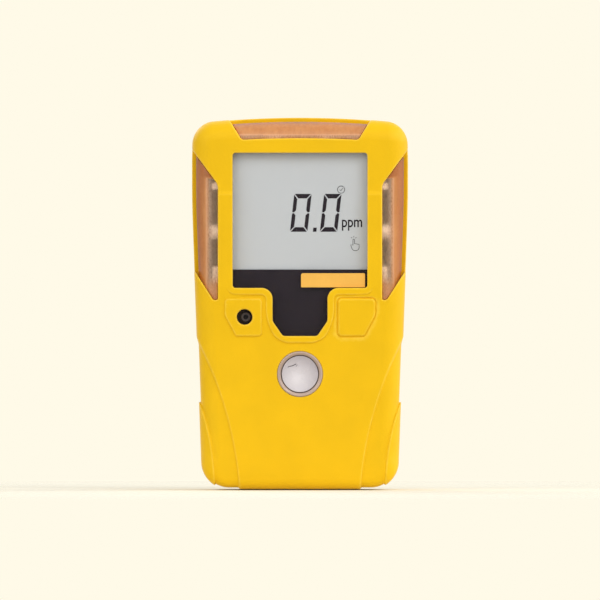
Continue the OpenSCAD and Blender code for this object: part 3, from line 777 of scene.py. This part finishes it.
class Finish:
    """A node material under construction."""

    def __init__(self, name):
        self.material = bpy.data.materials.new(name)
        self.material.use_nodes = True
        self.nodes = self.material.node_tree.nodes
        self.surface = self.nodes["Principled BSDF"]
        self.output = self.nodes["Material Output"]
        self.place = self.add("ShaderNodeTexCoord").outputs["Object"]

    def add(self, kind, **inputs):
        """A new node of this kind, with its inputs filled."""
        node = self.nodes.new(kind)
        self.fill(node, **inputs)
        return node

    def fill(self, node, **inputs):
        """Sets or links a node's inputs by name; i0, i1 and so on are inputs by number."""
        for name, value in inputs.items():
            key = int(name[1:]) if name[1:].isdigit() else name.replace("_", " ")
            socket = node.inputs[key]
            if isinstance(value, bpy.types.NodeSocket):
                self.material.node_tree.links.new(value, socket)
            else:
                socket.default_value = value

    def noise(self, size, detail=3.0, stretch=(1, 1, 1)):
        """Noise from 0 to 1 whose features are about size millimetres across."""
        scale = [s / (size * MM) for s in stretch]
        mapped = self.add("ShaderNodeMapping", Vector=self.place, Scale=scale).outputs[0]
        return self.add("ShaderNodeTexNoise", Vector=mapped, Scale=1.0, Detail=detail).outputs["Fac"]

    def spread(self, value, low, high, start=0.3, end=0.7):
        """Value's range from start to end, stretched to run from low to high."""
        node = self.add("ShaderNodeMapRange", Value=value)
        self.fill(node, From_Min=start, From_Max=end, To_Min=low, To_Max=high)
        return node.outputs[0]

    def blend(self, share, a, b):
        """Colour a where share is 0 and b where it is 1."""
        node = self.nodes.new("ShaderNodeMix")
        node.data_type = "RGBA"
        self.fill(node, i0=share, i6=a, i7=b)
        return node.outputs[2]

    def combine(self, operation, a, b):
        """Two numbers added or multiplied."""
        node = self.add("ShaderNodeMath", i0=a, i1=b)
        node.operation = operation
        return node.outputs[0]

    def distance(self, place):
        """Distance in metres from a place, given in metres."""
        offset = self.add("ShaderNodeVectorMath", i0=self.place, i1=[-v for v in place])
        span = self.add("ShaderNodeVectorMath", i0=offset.outputs[0])
        span.operation = "LENGTH"
        return span.outputs["Value"]

    def on_front_faces(self):
        """1 on the outer side of a surface and 0 on its inner side."""
        behind = self.add("ShaderNodeNewGeometry").outputs["Backfacing"]
        return self.spread(behind, 1, 0, start=0, end=1)

    def finish_with(self, share, a, b):
        """Shows shader a where share is 0 and shader b where it is 1, and gives the material."""
        whole = self.add("ShaderNodeMixShader", Fac=share, i1=a.outputs[0], i2=b.outputs[0])
        self.fill(self.output, Surface=whole.outputs[0])
        return self.material

    def bump(self, height, distance, strength=1.0):
        """Tells the surface to look raised by distance millimetres where height is 1."""
        node = self.add("ShaderNodeBump", Height=height, Distance=distance * MM, Strength=strength)
        self.fill(self.surface, Normal=node.outputs[0])

    def set(self, **inputs):
        """Sets or links inputs of the main surface."""
        self.fill(self.surface, **inputs)


def shaded(color, factor):
    """A colour made darker or lighter by this factor."""
    return (*[c * factor for c in color[:3]], 1.0)


def moulded_finish(name, color, roughness, grain, depth, mottle=0.06, metallic=0.0, gloss=0.5):
    """A plain material with fine grain, uneven gloss and slight variation in its colour."""
    f = Finish(name)
    cloud = f.noise(9.0, detail=2.0)
    fine = f.noise(grain, detail=4.0)
    tone = f.blend(f.spread(cloud, 0.0, 1.0), shaded(color, 1 - mottle), shaded(color, 1 + mottle))
    tone = f.blend(f.spread(fine, 0.0, 0.35), tone, shaded(color, 1 - 2 * mottle))
    f.set(Base_Color=tone, Metallic=metallic, Specular_IOR_Level=gloss)
    f.set(Roughness=f.spread(f.noise(3.0), roughness - 0.06, roughness + 0.06))
    f.bump(fine, depth)
    return f


def soft_touch_yellow():
    """Soft-touch yellow plastic: fine spark-eroded grain, with a pale, uneven painted highlight on its convex
    edges.
    """
    yellow = srgb(236, 187, 3)
    f = moulded_finish("soft_touch_yellow", yellow, roughness=0.55, grain=0.3, depth=0.025, mottle=0.035)
    edges = f.add("ShaderNodeAttribute")
    edges.attribute_name = "convexity"
    # painted highlight: a pale yellow laid unevenly on the convex edges, where light catches them
    edge_highlight = f.spread(edges.outputs["Fac"], 0.0, 0.4, start=0.5, end=2.5)
    painted_edge_highlight = f.combine("MULTIPLY", edge_highlight, f.spread(f.noise(1.5), 0.3, 1.0))
    base = f.surface.inputs["Base Color"].links[0].from_socket
    f.set(Base_Color=f.blend(painted_edge_highlight, base, srgb(252, 218, 84)))
    f.set(Specular_IOR_Level=0.18, Sheen_Weight=0.25, Sheen_Roughness=0.35)
    return f.material


def smoky_amber():
    """Frosted plastic: amber and cloudy towards the housing's edge, neutral and see-through further in."""
    f = Finish("smoky_amber")
    attribute = f.add("ShaderNodeAttribute")
    attribute.attribute_name = "clearness"
    inwards = attribute.outputs["Fac"]
    grain = f.noise(0.3, stretch=(1, 1, 0.5))
    streaks = f.noise(0.9, detail=2.0, stretch=(1, 1, 0.15))

    # Colour: deep amber at the edge, then streaked amber, a painted highlight line, and haze where it clears
    amber = f.blend(f.spread(streaks, 0, 1), srgb(196, 124, 62), srgb(216, 150, 86))
    amber = f.blend(f.spread(inwards, 0, 1, start=0.0, end=0.42), srgb(176, 104, 50), amber)
    # painted highlight: a pale line along the lens where it starts to clear
    highlight_rise = f.spread(inwards, 0, 0.7, start=0.42, end=0.52)
    highlight_fall = f.spread(inwards, 1, 0, start=0.52, end=0.64)
    amber = f.blend(f.combine("MULTIPLY", highlight_rise, highlight_fall), amber, srgb(232, 182, 146))
    amber = f.blend(f.spread(grain, 0, 0.25), amber, srgb(222, 164, 110))
    haze = f.blend(f.spread(grain, 0, 1), srgb(146, 114, 90), srgb(232, 204, 178))
    f.set(Base_Color=f.blend(f.spread(inwards, 0, 1, start=0.55, end=0.8), amber, haze))
    f.set(Roughness=0.3, Specular_IOR_Level=0.4, Coat_Weight=0.5, Coat_Roughness=0.12)
    f.bump(grain, 0.012)

    # How much shows through, blurred: most where it is clear, some through its walls
    ragged = f.combine("ADD", inwards, f.spread(grain, -0.08, 0.08))
    through_front = f.spread(ragged, 0.2, 0.82, start=0.52, end=0.98)
    through_wall = f.spread(inwards, 0.35, 0.0, start=-1.0, end=0.0)
    colourless = f.spread(inwards, 0.0, 1.0, start=-0.3, end=0.5)
    tint = f.blend(colourless, srgb(240, 180, 116), srgb(255, 247, 238))
    blurred = f.add("ShaderNodeBsdfRefraction", Color=tint, Roughness=0.6, IOR=1.4)
    see_through = f.combine("ADD", through_front, through_wall)
    frost = f.add("ShaderNodeMixShader", Fac=see_through, i1=f.surface.outputs[0], i2=blurred.outputs[0])

    # Light passes through it without a shadow
    clear = f.add("ShaderNodeBsdfTransparent", Color=srgb(252, 246, 240))
    return f.finish_with(f.add("ShaderNodeLightPath").outputs["Is Shadow Ray"], frost, clear)


def filter_film():
    """Thin pale film, with a painted highlight low on its dish and painted shade greying it towards its rim.
    """
    white = srgb(224, 219, 224)
    f = moulded_finish("filter_film", white, roughness=0.28, grain=0.5, depth=0.01, mottle=0.03)
    highlight_centre = ((PORT_X - 0.8) * MM, FRONT_Y * MM, (PORT_Z - 1.3) * MM)
    # painted shade: the film greys with distance from a painted highlight low on its dish
    painted_shade = f.spread(f.distance(highlight_centre), 0, 0.8, start=0.5 * MM, end=6.2 * MM)
    pale = f.surface.inputs["Base Color"].links[0].from_socket
    f.set(Base_Color=f.blend(painted_shade, pale, srgb(150, 140, 146)))
    return f.material


def glowing_white():
    """White plastic with a painted glow: it gives off a little light of its own, though no lamp is lit."""
    f = moulded_finish("white_plastic", srgb(235, 233, 228), roughness=0.5, grain=0.3, depth=0.01)
    # painted glow, which brightens the white parts behind the lenses
    f.set(Emission_Color=srgb(255, 250, 244), Emission_Strength=0.2)
    return f.material


def clear_window():
    """Clear scratch-resistant plastic with a faint, uneven reflection."""
    f = Finish("clear_window")
    f.set(Base_Color=srgb(230, 232, 228), Roughness=f.spread(f.noise(6.0), 0.1, 0.2))
    f.bump(f.noise(14.0, detail=1.0), 0.01)
    clear = f.add("ShaderNodeBsdfTransparent", Color=srgb(252, 253, 250))
    seen = f.combine("MULTIPLY", f.add("ShaderNodeLightPath").outputs["Is Camera Ray"], f.on_front_faces())
    gloss = f.combine("MULTIPLY", f.add("ShaderNodeFresnel", IOR=1.25).outputs[0], seen)
    return f.finish_with(gloss, clear, f.surface)


def rolled_steel(name, color, roughness):
    """Steel strip or wire with fine marks along its length."""
    f = Finish(name)
    marks = f.noise(0.4, detail=4.0, stretch=(5, 5, 0.06))
    f.set(Base_Color=f.blend(f.spread(marks, 0, 1), shaded(color, 0.92), shaded(color, 1.05)))
    f.set(Metallic=1.0, Roughness=f.spread(marks, roughness - 0.04, roughness + 0.06))
    f.bump(marks, 0.002)
    return f.material


def make_finishes():
    """One material for each material slot of the record."""
    finishes = {
        "housing_yellow": soft_touch_yellow(),
        "amber_lens": smoky_amber(),
        "clear_window": clear_window(),
        "white_plastic": glowing_white(),
        "filter_fabric": filter_film(),
        "bright_steel": rolled_steel("bright_steel", srgb(184, 187, 191), roughness=0.3),
        "spring_steel": rolled_steel("spring_steel", srgb(160, 162, 166), roughness=0.35),
    }
    plain = [
        # slot, colour, roughness, size and depth of the grain in mm, mottle, metallic, gloss
        ("grey_rubber", srgb(126, 108, 98), 0.7, 0.3, 0.02, 0.06, 0.0, 0.5),
        ("dark_rubber", srgb(26, 20, 20), 0.7, 0.3, 0.02, 0.06, 0.0, 0.5),
        ("pink_rubber", srgb(190, 110, 130), 0.6, 0.2, 0.02, 0.06, 0.0, 0.5),
        ("black_ink", srgb(35, 26, 37), 0.5, 0.5, 0.004, 0.1, 0.0, 0.1),
        ("orange_label", srgb(241, 184, 84), 0.5, 0.35, 0.01, 0.05, 0.0, 0.2),
        ("silver_label", srgb(200, 201, 202), 0.35, 0.6, 0.004, 0.03, 0.4, 0.5),
        ("lcd_glass", srgb(201, 201, 214), 0.4, 0.5, 0.002, 0.006, 0.0, 0.2),
        ("solder_mask", srgb(44, 60, 50), 0.35, 0.8, 0.01, 0.2, 0.0, 0.5),
        ("chip_plastic", srgb(58, 49, 46), 0.55, 0.2, 0.01, 0.1, 0.0, 0.5),
        ("battery_sleeve", srgb(70, 110, 165), 0.3, 1.0, 0.01, 0.06, 0.0, 0.5),
        ("dark_steel", srgb(52, 52, 56), 0.4, 0.3, 0.006, 0.15, 0.8, 0.5),
        ("brass", srgb(205, 165, 85), 0.3, 0.4, 0.004, 0.08, 1.0, 0.5),
        ("ring_metal", srgb(186, 164, 150), 0.45, 0.25, 0.01, 0.06, 0.3, 0.5),
    ]
    for slot, *look in plain:
        finishes[slot] = moulded_finish(slot, *look).material
    return finishes


def dress(piece, material):
    """Gives a piece, or a CAD node, one material."""
    if piece.data.materials:
        piece.data.materials[0] = material
    else:
        piece.data.materials.append(material)


# ---- The object ----


def break_edges(node, width):
    """Rounds the sharp edges of a CAD node that stays in view."""
    piece = frame["nodes"][node]
    weld = piece.modifiers.new("weld", "WELD")
    weld.merge_threshold = 0.001 * MM
    bevel = piece.modifiers.new("bevel", "BEVEL")
    bevel.width = width * MM
    bevel.segments = 2
    bevel.limit_method = "ANGLE"
    bevel.angle_limit = math.radians(35)
    bevel.harden_normals = True


def spring_wire():
    """The clip's torsion spring: a copy of the CAD spring's mesh, which takes the spring's material slot and
    hides its node.
    """
    cad_spring = frame["nodes"]["clip_spring"]
    piece = add_object("spring_wire", cad_spring.data.copy())
    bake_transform(piece)
    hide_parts("clip_spring")
    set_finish(piece, SLOTS["clip_spring"])
    return piece


def label_print():
    """The blank printed table on the rating label: four rows, each divided in two."""
    bm = bmesh.new()
    margin = 1.6
    x0, z0 = LABEL_LOW[[0, 2]] + margin
    x1, z1 = LABEL_HIGH[[0, 2]] - margin
    row_h = (z1 - z0) / 4
    rows = [[(x0, z0 + i * row_h), (x1, z0 + i * row_h)] for i in range(5)]
    columns = [[(x, z0), (x, z1)] for x in (x0, x0 + 2 * row_h, x1)]
    for line in rows + columns:
        prism(bm, stroke(line, width=0.2), LABEL_HIGH[1], LABEL_HIGH[1] + INK_T)
    return printed("label_print", bm)


def filter_scuff():
    """Two short scuffs on the filter's film, which follow its surface."""
    bm = bmesh.new()
    scuffs = [
        [(-3.0, 1.65), (-2.5, 1.9), (-1.9, 2.0), (-0.95, 2.45)],
        [(-1.0, 1.85), (-0.8, 2.1), (-0.6, 2.3)],
    ]
    for points, width in zip(scuffs, (0.16, 0.08)):
        outline = stroke([(PORT_X + x, PORT_Z + z) for x, z in points], width)
        prism(bm, outline, -0.012, 0.01)
    for vertex in bm.verts:
        vertex.co.y += film_y(vertex.co.x / MM, vertex.co.z / MM) * MM
    return printed("filter_scuff", bm)


def build_moulded_pieces():
    """Every piece that comes from a distance field, in place of its CAD node."""
    return [
        moulded("front_cover_skin", front_cover_field, "front_cover", step=0.25, share=0.5),
        moulded("rear_cover_skin", rear_cover_field, "rear_cover", step=0.3, share=0.5),
        moulded("left_lens", side_lens_field(-1), "alarm_lens_left", step=0.25),
        moulded("right_lens", side_lens_field(1), "alarm_lens_right", step=0.25),
        moulded("top_lens", lens_field(top_window), "alarm_lens_top", step=0.25),
        moulded("button_skin", button_field, "button_cap", step=0.18),
        moulded("port_ring", ring_field, "filter_ring", step=0.12),
        moulded("filter_film", filter_field, "gas_filter", step=0.12),
    ]


new_pieces = build_moulded_pieces()
new_pieces += [lcd_digits(), lcd_unit(), lcd_icons(), label_print(), filter_scuff(), spring_wire()]
finishes = make_finishes()
for new_piece in new_pieces:
    dress(new_piece, finishes[new_piece["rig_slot"]])
for node_name, node_piece in frame["nodes"].items():
    dress(node_piece, finishes[SLOTS[node_name]])
for node_name in ("clip_bracket", "clip_lever", "clip_pin", "clip_screws", "cover_screws"):
    break_edges(node_name, width=0.12)


# ---- Floor, light and camera ----


CREAM = srgb(255, 250, 232)


def build_floor():
    """A pale floor that fades out before its rim and isn't seen from below."""
    bm = bmesh.new()
    bmesh.ops.create_circle(bm, cap_ends=True, segments=96, radius=350 * MM)
    mesh = bpy.data.meshes.new("floor")
    bm.to_mesh(mesh)
    bm.free()
    floor = add_object("floor", mesh)
    floor.location = (0, 0, -0.2 * MM)
    f = Finish("pale_floor")
    f.set(Base_Color=shaded(CREAM, 0.8), Roughness=0.9)
    fade = f.spread(f.distance((0, 0, 0)), 1.0, 0.0, start=50 * MM, end=200 * MM)
    cover = f.combine("MULTIPLY", fade, f.on_front_faces())
    clear = f.add("ShaderNodeBsdfTransparent")
    dress(floor, f.finish_with(cover, clear, f.surface))


def build_world():
    """White light from all round, which the camera sees as a cream backdrop.

    Glossy surfaces reflect it brighter from above than from the sides.
    """
    even, above = 0.55, 1.25
    world = bpy.data.worlds.new("studio")
    bpy.context.scene.world = world
    world.use_nodes = True
    nodes, links = world.node_tree.nodes, world.node_tree.links
    lighting = nodes["Background"]
    lighting.inputs["Color"].default_value = (1, 0.99, 0.97, 1)
    rays = nodes.new("ShaderNodeLightPath")
    place = nodes.new("ShaderNodeTexCoord").outputs["Generated"]
    height = nodes.new("ShaderNodeSeparateXYZ")
    links.new(place, height.inputs[0])
    overhead = nodes.new("ShaderNodeMapRange")
    overhead.inputs["From Max"].default_value = 0.6
    overhead.inputs["To Min"].default_value = even
    overhead.inputs["To Max"].default_value = above
    links.new(height.outputs["Z"], overhead.inputs["Value"])
    strength = nodes.new("ShaderNodeMapRange")
    strength.inputs["To Min"].default_value = even
    links.new(overhead.outputs[0], strength.inputs["To Max"])
    links.new(rays.outputs["Is Glossy Ray"], strength.inputs["Value"])
    links.new(strength.outputs[0], lighting.inputs["Strength"])
    backdrop = nodes.new("ShaderNodeBackground")
    backdrop.inputs["Color"].default_value = CREAM
    mix = nodes.new("ShaderNodeMixShader")
    links.new(rays.outputs["Is Camera Ray"], mix.inputs[0])
    links.new(lighting.outputs[0], mix.inputs[1])
    links.new(backdrop.outputs[0], mix.inputs[2])
    links.new(mix.outputs[0], nodes["World Output"].inputs[0])


def area_light(name, place, size, power):
    """A square light aimed at the middle of the object; place and size are in metres."""
    light = bpy.data.lights.new(name, "AREA")
    light.size = size
    light.energy = power
    lamp = add_object(name, light)
    lamp.location = place
    aim = Vector((0, 0, BODY_H * MM / 2)) - Vector(place)
    lamp.rotation_euler = aim.to_track_quat("-Z", "Y").to_euler()


def build_camera():
    """A distant camera straight in front, with the whole object in the middle of a square frame."""
    distance = 4.0
    frame_w = 146.8 * MM
    middle_z = 46.3 * MM
    camera = bpy.data.cameras.new("camera")
    camera.sensor_width = 36
    camera.lens = camera.sensor_width * distance / frame_w
    holder = add_object("camera", camera)
    holder.location = (0, -distance - 8 * MM, middle_z)
    holder.rotation_euler = (math.pi / 2, 0, 0)
    bpy.context.scene.camera = holder


build_floor()
build_world()
area_light("key", place=(0.6, -0.6, 0.7), size=0.5, power=4.2)
area_light("fill", place=(-0.45, -0.45, 0.35), size=0.5, power=1.5)
area_light("brow", place=(0, -0.3, 0.25), size=0.2, power=0.12)
area_light("rim", place=(0.8, 0.1, 0.4), size=0.4, power=3.6)
area_light("back", place=(-0.5, 0.8, 0.6), size=0.6, power=3)
build_camera()
bpy.context.scene.view_settings.view_transform = "Standard"
